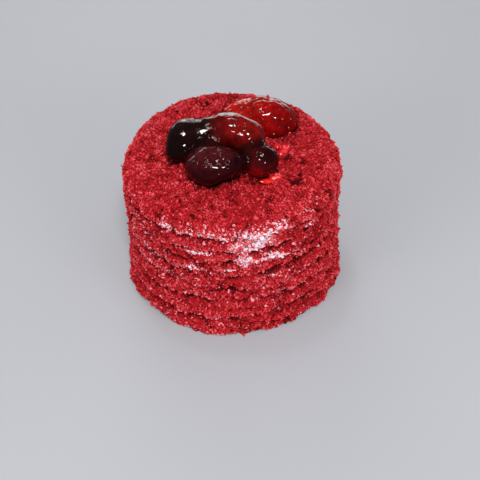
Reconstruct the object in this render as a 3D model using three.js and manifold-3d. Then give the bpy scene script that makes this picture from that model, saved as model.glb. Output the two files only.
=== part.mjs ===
// A small round layer cake coated in cream and red sponge crumbs, with glazed berries on top.
// Millimetres, +Z up. The origin is the middle of the base, and the front of the cake faces -Y.
import * as THREE from "three";
import { mergeVertices } from "three/addons/utils/BufferGeometryUtils.js";
import Module from "manifold-3d";

// ---- Driving dimensions ----
const TOP_RADIUS = 49.1; // widest part, just below the rounded top edge
const WAIST_RADIUS = 48.6; // half way up
const FOOT_RADIUS = 50.6; // at the bottom of the lowest layer
const CAKE_HEIGHT = 67.2; // to the inner side of the rounded top edge
const DOME_RISE = 1; // the top swells by this much in the middle
const EDGE_ROUND = 8; // radius of the rounded top edge
const LEAN = 1.6; // the top sits this far to -X of the base
const LAYER_TOPS = [10.5, 19.5, 28, 36, 43.5, 51, 57.5]; // heights of the joints between sponge layers
const JOINT_DEPTH = 1.5; // how far a joint lies behind the coat
const FOOT_STRENGTH = 0.6; // the share of that depth at the very bottom
// The share of it higher up: the usual one, and the height, lobes and phase shift of its change.
const JOINT_STRENGTH = { usual: 0.6, change: 0.4, lobes: 4, shift: 2.2 };
const CRUMB_RELIEF = 0.55; // unevenness of the crumb coat, each way
const UPWARD_RELIEF = 0.7; // the share of it that moves the coat up or down

// Slow unevenness round the cake. Each wave has a height in millimetres, a number of lobes, a phase,
// and the shift of that phase from one layer to the next.
const OUTLINE_WAVES = [
  { height: 0.3, lobes: 2, phase: 0.6, shift: 0 },
  { height: 0.28, lobes: 3, phase: 2.1, shift: 0 },
  { height: 0.2, lobes: 5, phase: 4, shift: 0 },
];
const JOINT_WAVES = [
  { height: 0.75, lobes: 2, phase: 0, shift: 2.4 },
  { height: 0.5, lobes: 5, phase: 0, shift: 1.7 },
];
const PUSH_WAVES = [
  { height: 0.4, lobes: 1, phase: 0, shift: 2.9 },
  { height: 0.35, lobes: 3, phase: 0, shift: 1.3 },
];

// The rows of a layer: how far up the layer each lies, and how far it stands out. The first is the
// joint. The top layer has fewer, as the rounded edge takes over.
const LAYER_PROFILE = [
  { share: 0, out: -JOINT_DEPTH },
  { share: 0.13, out: 0.5 },
  { share: 0.45, out: 0 },
  { share: 0.82, out: -0.2 },
];
const TOP_LAYER_PROFILE = [
  { share: 0, out: -JOINT_DEPTH },
  { share: 0.4, out: 0 },
];
const EDGE_START = 38; // degrees round the top edge at which its own rows begin
const EDGE_ROWS = 4; // rows of facets over the rounded edge
const SIDE_FACET = 3.9; // width of a facet round the side
const TOP_FACET = 3.7; // width of a facet on the top
const FEWEST_FACETS = 6; // in the innermost ring

const CRUMB_SIZE = { smallest: 0.9, largest: 2.1 }; // radius of the crumbs that stand out of the coat
const CRUMB_UNEVEN = { least: 0.7, most: 1.2 }; // how far its corners reach, as shares of the radius
const TOP_CRUMBS = 80;
const SIDE_CRUMBS = 84;
const LOWEST_CRUMB = 3; // height of the first crumb round the side
const BERRY_ROOM = 2.5; // no crumb stands closer to a berry than this

const GAP = 0.3; // clearance between pieces that touch
const SEAT_DEPTH = 1.2; // how far the berries are pressed into the crumbs

// Each berry: its middle, its half-sizes along its own length, width and height, the turn of its
// length about Z and its tilt in degrees. The skin of the raspberries is sunk between the drupelets,
// and that of the strawberry is pitted where the seeds are, each by a share of the berry's size.
const BERRIES = {
  strawberry_half: {
    middle: [11.3, 22.4, 67.2], half: [18, 13, 14], turn: -21, tilt: 0, tapered: true,
    fineness: 3, valley: 0, pit: 0.025, colour: 0x9a1512, roughness: 0.12,
  },
  dark_berry: {
    middle: [-20, 0.6, 73.6], half: [13, 9.6, 9], turn: 38, tilt: 3,
    fineness: 3, valley: 0.045, pit: 0, colour: 0x1c0b0a, roughness: 0.08,
  },
  raspberry_front: {
    middle: [-8.2, -17.2, 73.6], half: [13.4, 10.6, 8.8], turn: -8, tilt: 0,
    fineness: 3, valley: 0.05, pit: 0, colour: 0x34080c, roughness: 0.1,
  },
  raspberry_small: {
    middle: [12, -12.4, 72.6], half: [8.2, 7.6, 7.6], turn: 30, tilt: 8,
    fineness: 2, valley: 0.08, pit: 0, colour: 0x4a0a0a, roughness: 0.12,
  },
  raspberry_middle: {
    middle: [1.2, 2.1, 77.3], half: [12.6, 8.8, 8.6], turn: -14, tilt: -6,
    fineness: 3, valley: 0.045, pit: 0, colour: 0x5c0b0c, roughness: 0.08,
  },
};

const TURN = 2 * Math.PI;
const GOLDEN_ANGLE = Math.PI * (3 - Math.sqrt(5));
const SAME_POINT = 1e-3; // points closer than this are one point
// The factor, step and span of the repeatable random numbers.
const RANDOM_FACTOR = 1664525;
const RANDOM_STEP = 1013904223;
const RANDOM_SPAN = 2 ** 32;
const { degToRad, lerp } = THREE.MathUtils;

// ---- Small helpers ----

// Repeatable random numbers from 0 to 1.
function seededRandom(seed) {
  let state = seed >>> 0;
  return () => {
    state = (Math.imul(state, RANDOM_FACTOR) + RANDOM_STEP) >>> 0;
    return state / RANDOM_SPAN;
  };
}

// A polyhedron whose shared corners are merged, with only positions left.
function bareGeometry(geometry) {
  geometry.deleteAttribute("normal");
  geometry.deleteAttribute("uv");
  return mergeVertices(geometry, SAME_POINT);
}

function toSolid(geometry) {
  const bare = bareGeometry(geometry);
  return new wasm.Manifold(
    new wasm.Mesh({
      numProp: 3,
      vertProperties: bare.attributes.position.array,
      triVerts: new Uint32Array(bare.index.array),
    }),
  );
}

function toGeometry(solid) {
  const mesh = solid.getMesh();
  const geometry = new THREE.BufferGeometry();
  geometry.setAttribute("position", new THREE.BufferAttribute(mesh.vertProperties, 3));
  geometry.setIndex(new THREE.BufferAttribute(mesh.triVerts, 1));
  geometry.computeVertexNormals();
  return geometry;
}

// The largest body of a solid, without the scraps that a cut leaves loose.
function largestBody(solid) {
  return solid.decompose().reduce((most, body) => (body.volume() > most.volume() ? body : most));
}

// ---- The cake's surface ----

// The sum of some waves at an angle, for a layer where they differ from layer to layer.
const waveSum = (waves, angle, layer = 0) =>
  waves.reduce(
    (sum, { height, lobes, phase, shift }) =>
      sum + height * Math.sin(lobes * angle + phase + shift * layer),
    0,
  );

// How far the whole outline swells or shrinks at an angle.
const outlineSwell = (angle) => waveSum(OUTLINE_WAVES, angle);

// A joint is deep in some places and filled with crumbs in others.
function jointStrength(angle, layer) {
  if (layer === 0) return FOOT_STRENGTH;
  const { usual, change, lobes, shift } = JOINT_STRENGTH;
  return usual + change * Math.sin(lobes * angle + shift * layer) * Math.cos(angle + layer);
}

// The height of a joint between layers, which wanders as it goes round.
const jointHeight = (angle, layer) =>
  layer ? LAYER_TOPS[layer - 1] + waveSum(JOINT_WAVES, angle, layer) : 0;

// The plain side of the cake, before layers and crumbs.
function sideRadius(height) {
  const share = height / CAKE_HEIGHT;
  return share < 0.5
    ? lerp(FOOT_RADIUS, WAIST_RADIUS, Math.sin(share * Math.PI))
    : lerp(WAIST_RADIUS, TOP_RADIUS, share * 2 - 1);
}

const leanAt = (height) => (-LEAN * height) / CAKE_HEIGHT;

const domeHeight = (share) => CAKE_HEIGHT + DOME_RISE * (1 - share * share);

// A row over the rounded top edge, this many degrees round it.
const edgeRow = (degrees) => (angle) => ({
  radius: TOP_RADIUS - EDGE_ROUND * (1 - Math.cos(degToRad(degrees))) + outlineSwell(angle),
  height: CAKE_HEIGHT - EDGE_ROUND * (1 - Math.sin(degToRad(degrees))),
});

// The rows up the side, each a function of the angle that gives a radius and a height.
function sideRows() {
  const edge = edgeRow(EDGE_START)(0).height;
  const row = (layer, top, { share, out }) => (angle) => {
    const height = lerp(jointHeight(angle, layer), top(angle), share);
    const push = share
      ? out + waveSum(PUSH_WAVES, angle, layer)
      : out * jointStrength(angle, layer);
    return { radius: sideRadius(height) + outlineSwell(angle) + push, height };
  };
  const layers = LAYER_TOPS.flatMap((_, layer) =>
    LAYER_PROFILE.map((part) => row(layer, (angle) => jointHeight(angle, layer + 1), part)),
  );
  return [...layers, ...TOP_LAYER_PROFILE.map((part) => row(LAYER_TOPS.length, () => edge, part))];
}

// The rows over the rounded top edge and in to the middle.
function topRows() {
  const rows = [];
  for (let row = 0; row < EDGE_ROWS; row++) {
    rows.push(edgeRow(lerp(EDGE_START, 90, row / (EDGE_ROWS - 1))));
  }
  const flat = TOP_RADIUS - EDGE_ROUND;
  const rings = Math.round(flat / TOP_FACET);
  for (let ring = rings - 1; ring > 0; ring--) {
    const share = ring / rings;
    rows.push((angle) => ({
      radius: (flat + outlineSwell(angle)) * share,
      height: domeHeight(share),
    }));
  }
  return rows;
}

// Triangles between two rings of points that need not have the same count.
function stitch(faces, below, above) {
  let i = 0;
  let j = 0;
  while (i < below.count || j < above.count) {
    const a = below.first + (i % below.count);
    const b = above.first + (j % above.count);
    if ((i + 1) / below.count <= (j + 1) / above.count) {
      i++;
      faces.push(a, below.first + (i % below.count), b);
    } else {
      j++;
      faces.push(a, above.first + (j % above.count), b);
    }
  }
}

// The body with its uneven coat, closed at the middle of the base and of the top.
function bodyGeometry() {
  const random = seededRandom(11);
  const uneven = () => (random() * 2 - 1) * CRUMB_RELIEF;
  const points = [];
  const rings = [];
  const addRing = (row, facet) => {
    const count = Math.max(FEWEST_FACETS, Math.round((TURN * row(0).radius) / facet));
    rings.push({ first: points.length, count });
    for (let i = 0; i < count; i++) {
      const angle = (i / count) * TURN;
      const { radius, height } = row(angle);
      const out = radius + uneven();
      const up = height > 0 ? height + uneven() * UPWARD_RELIEF : 0;
      points.push([out * Math.cos(angle) + leanAt(height), out * Math.sin(angle), up]);
    }
  };
  sideRows().forEach((row) => addRing(row, SIDE_FACET));
  topRows().forEach((row) => addRing(row, TOP_FACET));

  const base = points.push([0, 0, 0]) - 1;
  const crown = points.push([leanAt(CAKE_HEIGHT), 0, domeHeight(0)]) - 1;
  const faces = [];
  const [first, last] = [rings[0], rings.at(-1)];
  for (let i = 0; i < first.count; i++) faces.push(base, (i + 1) % first.count, i);
  for (let i = 1; i < rings.length; i++) stitch(faces, rings[i - 1], rings[i]);
  for (let i = 0; i < last.count; i++) {
    faces.push(crown, last.first + i, last.first + ((i + 1) % last.count));
  }
  const geometry = new THREE.BufferGeometry();
  geometry.setAttribute("position", new THREE.Float32BufferAttribute(points.flat(), 3));
  geometry.setIndex(faces);
  return geometry;
}

// ---- Crumbs ----

// One crumb: an uneven eight-sided lump.
function crumbGeometry(random, size) {
  const lump = bareGeometry(new THREE.OctahedronGeometry(size));
  const place = lump.attributes.position;
  for (let i = 0; i < place.count; i++) {
    const reach = lerp(CRUMB_UNEVEN.least, CRUMB_UNEVEN.most, random());
    place.setXYZ(i, place.getX(i) * reach, place.getY(i) * reach, place.getZ(i) * reach);
  }
  return lump.rotateX(random() * TURN).rotateZ(random() * TURN);
}

// Whether a place on the top is under a berry or close beside one.
function nearBerry(x, y) {
  return Object.values(BERRIES).some(({ middle, half, turn }) => {
    const away = new THREE.Vector2(x - middle[0], y - middle[1]);
    away.rotateAround(new THREE.Vector2(), -degToRad(turn));
    return Math.hypot(away.x / (half[0] + BERRY_ROOM), away.y / (half[1] + BERRY_ROOM)) < 1;
  });
}

// The largest crumbs of the coat, spread evenly over the top and round the side.
function crumbGeometries() {
  const random = seededRandom(5);
  const crumbs = [];
  const add = (x, y, z) => {
    const size = lerp(CRUMB_SIZE.smallest, CRUMB_SIZE.largest, random());
    crumbs.push(crumbGeometry(random, size).translate(x, y, z));
  };
  for (let i = 0; i < TOP_CRUMBS; i++) {
    const share = Math.sqrt((i + 0.5) / TOP_CRUMBS);
    const radius = share * (TOP_RADIUS - EDGE_ROUND / 2);
    const x = radius * Math.cos(i * GOLDEN_ANGLE) + leanAt(CAKE_HEIGHT);
    const y = radius * Math.sin(i * GOLDEN_ANGLE);
    if (!nearBerry(x, y)) add(x, y, domeHeight(share));
  }
  for (let i = 0; i < SIDE_CRUMBS; i++) {
    const angle = i * GOLDEN_ANGLE;
    const height = lerp(LOWEST_CRUMB, CAKE_HEIGHT - EDGE_ROUND, (i + random()) / SIDE_CRUMBS);
    const radius = sideRadius(height) + outlineSwell(angle);
    add(radius * Math.cos(angle) + leanAt(height), radius * Math.sin(angle), height);
  }
  return crumbs;
}

// ---- Berries ----

// How much a strawberry's girth shrinks along its length: +X is the leaf end, -X the tip.
const strawberryTaper = (along) => 0.86 + 0.2 * along - 0.08 * along * along;

// A sphere of small facets. Every other corner is the top of a drupelet or the place of a seed, and
// these are the corners of a coarser sphere.
function berrySphere(fineness, valley, pit) {
  const sphere = bareGeometry(new THREE.IcosahedronGeometry(1, 2 * fineness - 1));
  const place = sphere.attributes.position;
  const tops = new THREE.IcosahedronGeometry(1, fineness - 1).attributes.position;
  const way = new THREE.Vector3();
  const top = new THREE.Vector3();
  for (let i = 0; i < place.count; i++) {
    way.fromBufferAttribute(place, i);
    let nearest = Infinity;
    for (let k = 0; k < tops.count; k++) {
      nearest = Math.min(nearest, way.distanceTo(top.fromBufferAttribute(tops, k)));
    }
    way.multiplyScalar(nearest < SAME_POINT ? 1 - pit : 1 - valley);
    place.setXYZ(i, ...way);
  }
  return sphere;
}

// A berry in place. The smooth room it takes up is grown by a margin all over.
function placedBerry({ middle, half, turn, tilt, tapered }, lump, margin) {
  const place = lump.attributes.position;
  const way = new THREE.Vector3();
  for (let i = 0; i < place.count; i++) {
    way.fromBufferAttribute(place, i);
    const taper = tapered ? strawberryTaper(way.x) : 1;
    place.setXYZ(
      i,
      way.x * (half[0] + margin),
      way.y * (half[1] * taper + margin),
      way.z * (half[2] * taper + margin),
    );
  }
  return toSolid(lump.rotateY(-degToRad(tilt)).rotateZ(degToRad(turn)).translate(...middle));
}

const berrySolid = (berry) =>
  placedBerry(berry, berrySphere(berry.fineness, berry.valley, berry.pit), 0);

const berryRoom = (berry) => placedBerry(berry, berrySphere(berry.fineness, 0, 0), GAP);

// Everything below the flat seats of the berries.
function underBerries(top) {
  const block = new THREE.BoxGeometry(4 * TOP_RADIUS, 4 * TOP_RADIUS, top);
  return toSolid(block.translate(0, 0, top / 2));
}

// The berries in order. Each is flat below and is cut back from the ones already laid down.
function layBerries() {
  const under = underBerries(CAKE_HEIGHT - SEAT_DEPTH);
  const laid = [];
  for (const [name, berry] of Object.entries(BERRIES)) {
    let solid = berrySolid(berry).subtract(under);
    for (const other of laid) solid = solid.subtract(berryRoom(other.berry));
    laid.push({ name, berry, solid: largestBody(solid) });
  }
  return laid;
}

// ---- Assembly ----

// The body and its crumbs as one piece, hollowed where the berries sit.
function cakeSolid(laid) {
  let solid = toSolid(bodyGeometry());
  for (const crumb of crumbGeometries()) solid = solid.add(toSolid(crumb));
  const under = underBerries(CAKE_HEIGHT - SEAT_DEPTH - GAP);
  for (const { berry } of laid) solid = solid.subtract(berryRoom(berry).subtract(under));
  return largestBody(solid);
}

function named(name, solid, colour, roughness) {
  const material = new THREE.MeshStandardMaterial({ color: colour, roughness, metalness: 0 });
  const mesh = new THREE.Mesh(toGeometry(solid), material);
  mesh.name = name;
  return mesh;
}

const wasm = await Module();
wasm.setup();

const cake = new THREE.Group();
const laid = layBerries();
cake.add(named("cake_body", cakeSolid(laid), 0xab2a31, 0.95));
for (const { name, berry, solid } of laid) {
  cake.add(named(name, solid, berry.colour, berry.roughness));
}

export default cake;
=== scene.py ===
"""Raspberry cake: its crumb coat, cream, glazed berries and light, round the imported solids.

Every size below is in millimetres, and a mesh is turned to metres as it is made. Only the studio
is given in metres. The cake stands on z = 0 with the middle of its base at the origin, and its
front faces -y.
"""
import logging
import math
from collections.abc import Callable, Sequence
from dataclasses import dataclass
from enum import Enum
from itertools import product

import bmesh
import bpy
import numpy as np
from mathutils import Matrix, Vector


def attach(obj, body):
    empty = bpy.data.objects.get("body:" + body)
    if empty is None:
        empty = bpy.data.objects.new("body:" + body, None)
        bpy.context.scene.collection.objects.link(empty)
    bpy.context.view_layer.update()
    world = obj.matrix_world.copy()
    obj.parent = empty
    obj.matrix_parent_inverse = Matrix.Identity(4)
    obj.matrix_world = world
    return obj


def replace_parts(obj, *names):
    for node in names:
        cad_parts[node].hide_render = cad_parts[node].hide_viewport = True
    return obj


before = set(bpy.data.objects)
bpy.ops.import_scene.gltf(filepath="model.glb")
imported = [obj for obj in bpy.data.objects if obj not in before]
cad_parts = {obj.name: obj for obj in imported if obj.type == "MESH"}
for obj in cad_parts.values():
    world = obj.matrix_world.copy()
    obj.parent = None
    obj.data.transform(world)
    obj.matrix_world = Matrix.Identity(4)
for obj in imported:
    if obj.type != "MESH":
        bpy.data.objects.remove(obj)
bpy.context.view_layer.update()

LOG = logging.getLogger("raspberry_cake")
MM = 0.001
TURN = 2 * math.pi
GOLDEN_ANGLE = math.pi * (3 - math.sqrt(5))
TINY = 1e-6

Array = np.ndarray
Place = tuple[float, float, float]
Colour = tuple[float, float, float]
Piece = bpy.types.Object
Socket = bpy.types.NodeSocket
Material = bpy.types.Material

NOTHING: Colour = (0, 0, 0)
ALL: Colour = (1, 1, 1)


# ---- Numbers, noise and meshes ----


def smooth_step(low: float, high: float, value: Array) -> Array:
    """Rises smoothly from 0 at the low value to 1 at the high one."""
    share = np.clip((value - low) / (high - low), 0, 1)
    return share * share * (3 - 2 * share)


def bell(value: Array, middle: float, width: float) -> Array:
    """A hump of height 1 round a middle, which falls to about a third at the width."""
    return np.exp(-(((value - middle) / width) ** 2))


def angle_between(angle: Array, middle: float) -> Array:
    """How far each angle, in radians, is from a middle one, in degrees, the short way round."""
    return (np.degrees(angle) - middle + 180) % 360 - 180


# Large primes and shifts that mix the numbers of a cell of space until they look random.
MIX_PLACE = (73856093, 19349663, 83492791)
MIX_SEED = 2654435761
MIX_STEPS = ((15, 2246822519), (13, 3266489917))
LAST_SHIFT = 16
LOW_BITS = 0xFFFFFFFF


def grain_noise(points: Array, grain: float, seed: int) -> Array:
    """Smooth repeatable noise in space.

    Args:
        points: Places, one a row.
        grain: The width of its features, in millimetres.
        seed: Tells one noise from another.

    Returns:
        A number from -1 to 1 for each place.
    """
    place = points / grain
    cell = np.floor(place).astype(np.int64)
    share = place - cell
    share = share * share * (3 - 2 * share)
    total = np.zeros(len(points))
    for corner in product((0, 1), repeat=3):
        x, y, z = ((cell + np.array(corner)) * np.array(MIX_PLACE)).T
        mixed = (x ^ y ^ z ^ (seed * MIX_SEED)) & LOW_BITS
        for shift, factor in MIX_STEPS:
            mixed = ((mixed ^ (mixed >> shift)) * factor) & LOW_BITS
        mixed ^= mixed >> LAST_SHIFT
        weight = np.prod(np.where(np.array(corner) == 1, share, 1 - share), axis=1)
        total += weight * (mixed / LOW_BITS)
    return total * 2 - 1


@dataclass(frozen=True)
class Grain:
    """One noise: how strong it is, how wide its features are, which it is, and its stretch."""

    strength: float
    width: float
    seed: int
    stretch: Place = (1, 1, 1)

    def at(self, points: Array) -> Array:
        """The noise at each place."""
        stretched = points * np.array(self.stretch)
        return self.strength * grain_noise(stretched, self.width, self.seed)


@dataclass(frozen=True)
class Wave:
    """Waves round the cake: how strong, how many, and how far each layer's are turned."""

    strength: float
    count: int
    shift: float

    def at(self, angle: Array, layer: int = 1) -> Array:
        """The wave at each angle, in radians."""
        return self.strength * np.sin(self.count * angle + self.shift * layer)


def unit(way: Sequence[float]) -> Array:
    """A way of length 1."""
    return np.array(way) / np.linalg.norm(way)


def units(ways: Array) -> Array:
    """Ways of length 1, one a row."""
    return ways / np.maximum(np.linalg.norm(ways, axis=1, keepdims=True), TINY)


def mesh_piece(name: str, points: Array, faces: Array, smooth: bool = True) -> Piece:
    """Makes a mesh object from arrays.

    Args:
        name: The piece's name.
        points: Corners in millimetres, one a row.
        faces: Corner numbers, with three or four a row.
        smooth: Whether it is shaded smooth.

    Returns:
        The new object, linked to the scene.
    """
    mesh = bpy.data.meshes.new(name)
    mesh.vertices.add(len(points))
    mesh.vertices.foreach_set("co", (points * MM).astype(np.float32).ravel())
    count, sides = faces.shape
    mesh.loops.add(count * sides)
    mesh.loops.foreach_set("vertex_index", faces.astype(np.int32).ravel())
    mesh.polygons.add(count)
    mesh.polygons.foreach_set("loop_start", np.arange(count, dtype=np.int32) * sides)
    mesh.polygons.foreach_set("use_smooth", np.full(count, smooth))
    mesh.update(calc_edges=True)
    mesh.validate()
    return placed(name, mesh)


def placed(name: str, data: bpy.types.ID) -> Piece:
    """Makes an object from what it holds, and links it to the scene.

    Args:
        name: The object's name.
        data: A mesh, a light or a camera.

    Returns:
        The new object.
    """
    thing = bpy.data.objects.new(name, data)
    bpy.context.scene.collection.objects.link(thing)
    return thing


def give_numbers(piece: Piece, name: str, values: Array) -> None:
    """Stores one number for each corner of a piece, under the name that its material reads."""
    attribute = piece.data.attributes.new(name, "FLOAT", "POINT")
    attribute.data.foreach_set("value", values.astype(np.float32))


def give_colours(piece: Piece, name: str, colours: Array) -> None:
    """Stores one colour for each corner of a piece.

    Args:
        piece: The mesh object.
        name: The name that its material reads.
        colours: The three shares of light for each corner.
    """
    attribute = piece.data.attributes.new(name, "FLOAT_COLOR", "POINT")
    shares = np.concatenate([colours, np.ones((len(colours), 1))], 1)
    attribute.data.foreach_set("color", shares.astype(np.float32).ravel())


def ball(divisions: int) -> tuple[Array, Array]:
    """A sphere of even triangles.

    Args:
        divisions: How often its faces are split.

    Returns:
        Its corners, one unit from the middle, and its faces.
    """
    form = bmesh.new()
    bmesh.ops.create_icosphere(form, subdivisions=divisions, radius=1)
    form.verts.index_update()
    points = np.array([corner.co for corner in form.verts])
    faces = np.array([[corner.index for corner in face.verts] for face in form.faces])
    form.free()
    return units(points), faces


def spread_ways(count: int) -> Array:
    """Directions spread evenly over a sphere.

    Args:
        count: How many there are.

    Returns:
        Unit vectors, one a row.
    """
    number = np.arange(count)
    up = 1 - (2 * number + 1) / count
    flat = np.sqrt(1 - up * up)
    turn = number * GOLDEN_ANGLE
    return np.stack([flat * np.cos(turn), flat * np.sin(turn), up], 1)


def halved(quads: Array) -> Array:
    """Splits four-sided faces into triangles."""
    return np.concatenate([quads[:, [0, 1, 2]], quads[:, [0, 2, 3]]])


def grouped(parts: Sequence[tuple[Array, Array]]) -> tuple[Array, Array]:
    """Joins some meshes into one.

    Args:
        parts: The corners and the faces of each.

    Returns:
        All corners, and all faces with their new corner numbers.
    """
    firsts = np.cumsum([0, *(len(points) for points, _ in parts)])
    faces = [faces + first for (_, faces), first in zip(parts, firsts)]
    return np.concatenate([points for points, _ in parts]), np.concatenate(faces)


def level_skin(level: Array, origin: Array, step: float) -> tuple[Array, Array]:
    """The closed skin round the part of a block of space where a level is below zero.

    Args:
        level: The level at each point of a grid.
        origin: The grid's first point.
        step: The distance between its points.

    Returns:
        Corners and four-sided faces that look outwards.
    """
    size = np.array(level.shape) - 1
    inside = level < 0
    total = np.zeros((*size, 3))
    count = np.zeros(size)
    for axis in range(3):
        others = [other for other in range(3) if other != axis]
        for shift in product((0, 1), repeat=2):
            start = np.zeros(3, int)
            start[others] = shift
            end = start.copy()
            end[axis] = 1
            here, there = (
                tuple(slice(at[k], at[k] + size[k]) for k in range(3)) for at in (start, end)
            )
            crossed = inside[here] != inside[there]
            first, second = level[here], level[there]
            share = np.where(crossed, first / np.where(crossed, first - second, 1), 0)
            for k in range(3):
                total[..., k] += crossed * (start[k] + (share if k == axis else 0))
            count += crossed
    used = count > 0
    number = np.full(size, -1)
    number[used] = np.arange(used.sum())
    corners = np.argwhere(used) + total[used] / count[used][:, None]
    faces = []
    for axis in range(3):
        one, two = [(1, 2), (2, 0), (0, 1)][axis]
        low = [slice(0, level.shape[k]) for k in range(3)]
        low[axis] = slice(0, size[axis])
        high = list(low)
        high[axis] = slice(1, level.shape[axis])
        crossed = inside[tuple(low)] != inside[tuple(high)]
        leaving = inside[tuple(low)][crossed]
        at = np.argwhere(crossed)
        ring = []
        for shift_one, shift_two in ((-1, -1), (0, -1), (0, 0), (-1, 0)):
            cell = at.copy()
            cell[:, one] += shift_one
            cell[:, two] += shift_two
            ring.append(number[tuple(cell.T)])
        quad = np.stack(ring, 1)
        faces.append(np.where(leaving[:, None], quad, quad[:, ::-1]))
    return origin + corners * step, np.concatenate(faces)


# ---- Finishes ----


class Slot(Enum):
    """The record's material slots."""

    CRUMB = "crumb_coat"
    DARK_CRUMB = "dark_crumb"
    CREAM = "cream"
    STRAWBERRY = "strawberry_flesh"
    DARK_BERRY = "dark_berry_skin"
    RASPBERRY = "raspberry_skin"
    GLAZE = "glaze"


def from_screen(red: int, green: int, blue: int) -> Colour:
    """Turns a colour as a screen shows it into one that light is worked out with.

    Args:
        red: From 0 to 255.
        green: From 0 to 255.
        blue: From 0 to 255.

    Returns:
        The three shares of light.
    """

    def share(value: int) -> float:
        """The share of light of one of the three."""
        part = value / 255
        return part / 12.92 if part <= 0.04045 else ((part + 0.055) / 1.055) ** 2.4

    return share(red), share(green), share(blue)


def tones(*colours: tuple[int, int, int]) -> tuple[Colour, ...]:
    """Turns some colours as a screen shows them into ones that light is worked out with."""
    return tuple(from_screen(*colour) for colour in colours)


# Where the mix node has its share and its two colours, and the colour that it gives.
COLOUR_INPUTS = (0, 6, 7)
COLOUR_OUTPUT = 2


class NodeBench:
    """Lays out the nodes of one material. A surface's socket is named with _ for a space."""

    def __init__(self, name: str) -> None:
        """Starts a material.

        Args:
            name: The material's name.
        """
        self.material = bpy.data.materials.new(name)
        self.material.use_nodes = True
        self.tree = self.material.node_tree
        self.surface = self.tree.nodes["Principled BSDF"]
        self.place = self.tree.nodes.new("ShaderNodeTexCoord").outputs["Object"]

    def feed(self, target: Socket, source: Socket | float | Colour) -> None:
        """Links a socket to the one that feeds it, or sets it to a plain value.

        Args:
            target: The socket that is fed.
            source: Another socket, a number, or a colour.
        """
        if isinstance(source, Socket):
            self.tree.links.new(source, target)
        elif isinstance(source, tuple) and len(target.default_value) > len(source):
            target.default_value = (*source, 1)
        else:
            target.default_value = source

    def finish(self, **sources: Socket | float | Colour) -> Material:
        """Feeds the surface's own sockets.

        Args:
            sources: What feeds each of them.

        Returns:
            The material.
        """
        for name, source in sources.items():
            socket = self.surface.inputs[name.replace("_", " ").title().replace("Ior", "IOR")]
            self.feed(socket, source)
        return self.material

    def noise(self, grain: float, detail: float = 2, roughness: float = 0.5) -> Socket:
        """Noise over the piece.

        Args:
            grain: The width of its features, in millimetres.
            detail: How many finer noises are laid on it.
            roughness: How strong the finer ones are.

        Returns:
            The socket that gives a number from 0 to 1.
        """
        node = self.tree.nodes.new("ShaderNodeTexNoise")
        self.feed(node.inputs["Scale"], 1 / (grain * MM))
        self.feed(node.inputs["Detail"], detail)
        self.feed(node.inputs["Roughness"], roughness)
        self.feed(node.inputs["Vector"], self.place)
        return node.outputs["Fac"]

    def stored(self, name: str, output: str = "Fac") -> Socket:
        """What the mesh stores at each corner.

        Args:
            name: Its name.
            output: Fac for a number, and Color for a colour.

        Returns:
            The socket that gives it.
        """
        node = self.tree.nodes.new("ShaderNodeAttribute")
        node.attribute_name = name
        return node.outputs[output]

    def joined(self, first: Socket, second: Socket, way: str) -> Socket:
        """Works out one number from two.

        Args:
            first: One number.
            second: The other.
            way: How, such as ADD or MULTIPLY.

        Returns:
            The socket that gives the result.
        """
        node = self.tree.nodes.new("ShaderNodeMath")
        node.operation = way
        self.feed(node.inputs[0], first)
        self.feed(node.inputs[1], second)
        return node.outputs[0]

    def ramp(self, source: Socket, *stops: tuple[float, Colour]) -> Socket:
        """Colours that follow a number.

        Args:
            source: The number.
            stops: Places from 0 to 1, each with its colour.

        Returns:
            The socket that gives the colour.
        """
        node = self.tree.nodes.new("ShaderNodeValToRGB")
        elements = node.color_ramp.elements
        while len(elements) < len(stops):
            elements.new(0.5)
        for element, (place, colour) in zip(elements, stops):
            element.position = place
            element.color = (*colour, 1)
        self.feed(node.inputs["Fac"], source)
        return node.outputs["Color"]

    def blend(
        self,
        share: Socket | float,
        first: Socket | Colour,
        second: Socket | Colour,
        way: str = "MIX",
    ) -> Socket:
        """Goes from one colour to another.

        Args:
            share: The share of the second.
            first: A colour or the socket that gives it.
            second: A colour or the socket that gives it.
            way: MIX to lay the second over the first, and MULTIPLY to shade the first with it.

        Returns:
            The socket that gives the blend.
        """
        node = self.tree.nodes.new("ShaderNodeMix")
        node.data_type = "RGBA"
        node.blend_type = way
        for at, source in zip(COLOUR_INPUTS, (share, first, second)):
            self.feed(node.inputs[at], source)
        return node.outputs[COLOUR_OUTPUT]

    def bump(self, height: Socket, depth: float, onto: Socket | None = None) -> Socket:
        """Fine relief in the shading.

        Args:
            height: The relief, from 0 to 1.
            depth: How deep it is, in millimetres.
            onto: A coarser relief that it is added to.

        Returns:
            The socket that gives the normal.
        """
        node = self.tree.nodes.new("ShaderNodeBump")
        self.feed(node.inputs["Distance"], depth * MM)
        self.feed(node.inputs["Height"], height)
        if onto is not None:
            self.feed(node.inputs["Normal"], onto)
        return node.outputs["Normal"]


@dataclass(frozen=True)
class CrumbFinish:
    """Moist sponge crumbs of one shade."""

    name: str
    pale: Colour
    usual: Colour
    deep: Colour
    grain: float = 1.3
    pore_grain: float = 0.3
    pores: float = 0.12
    roughness: float = 0.62
    shine: float = 0.05

    def material(self) -> Material:
        """Makes the material.

        Returns:
            The new material.
        """
        bench = NodeBench(self.name)
        tones = (0.3, self.deep), (0.5, self.usual), (0.72, self.pale)
        return bench.finish(
            base_color=bench.ramp(bench.noise(self.grain, 3), *tones),
            normal=bench.bump(bench.noise(self.pore_grain), self.pores),
            roughness=self.roughness,
            specular_ior_level=self.shine,
        )


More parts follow.
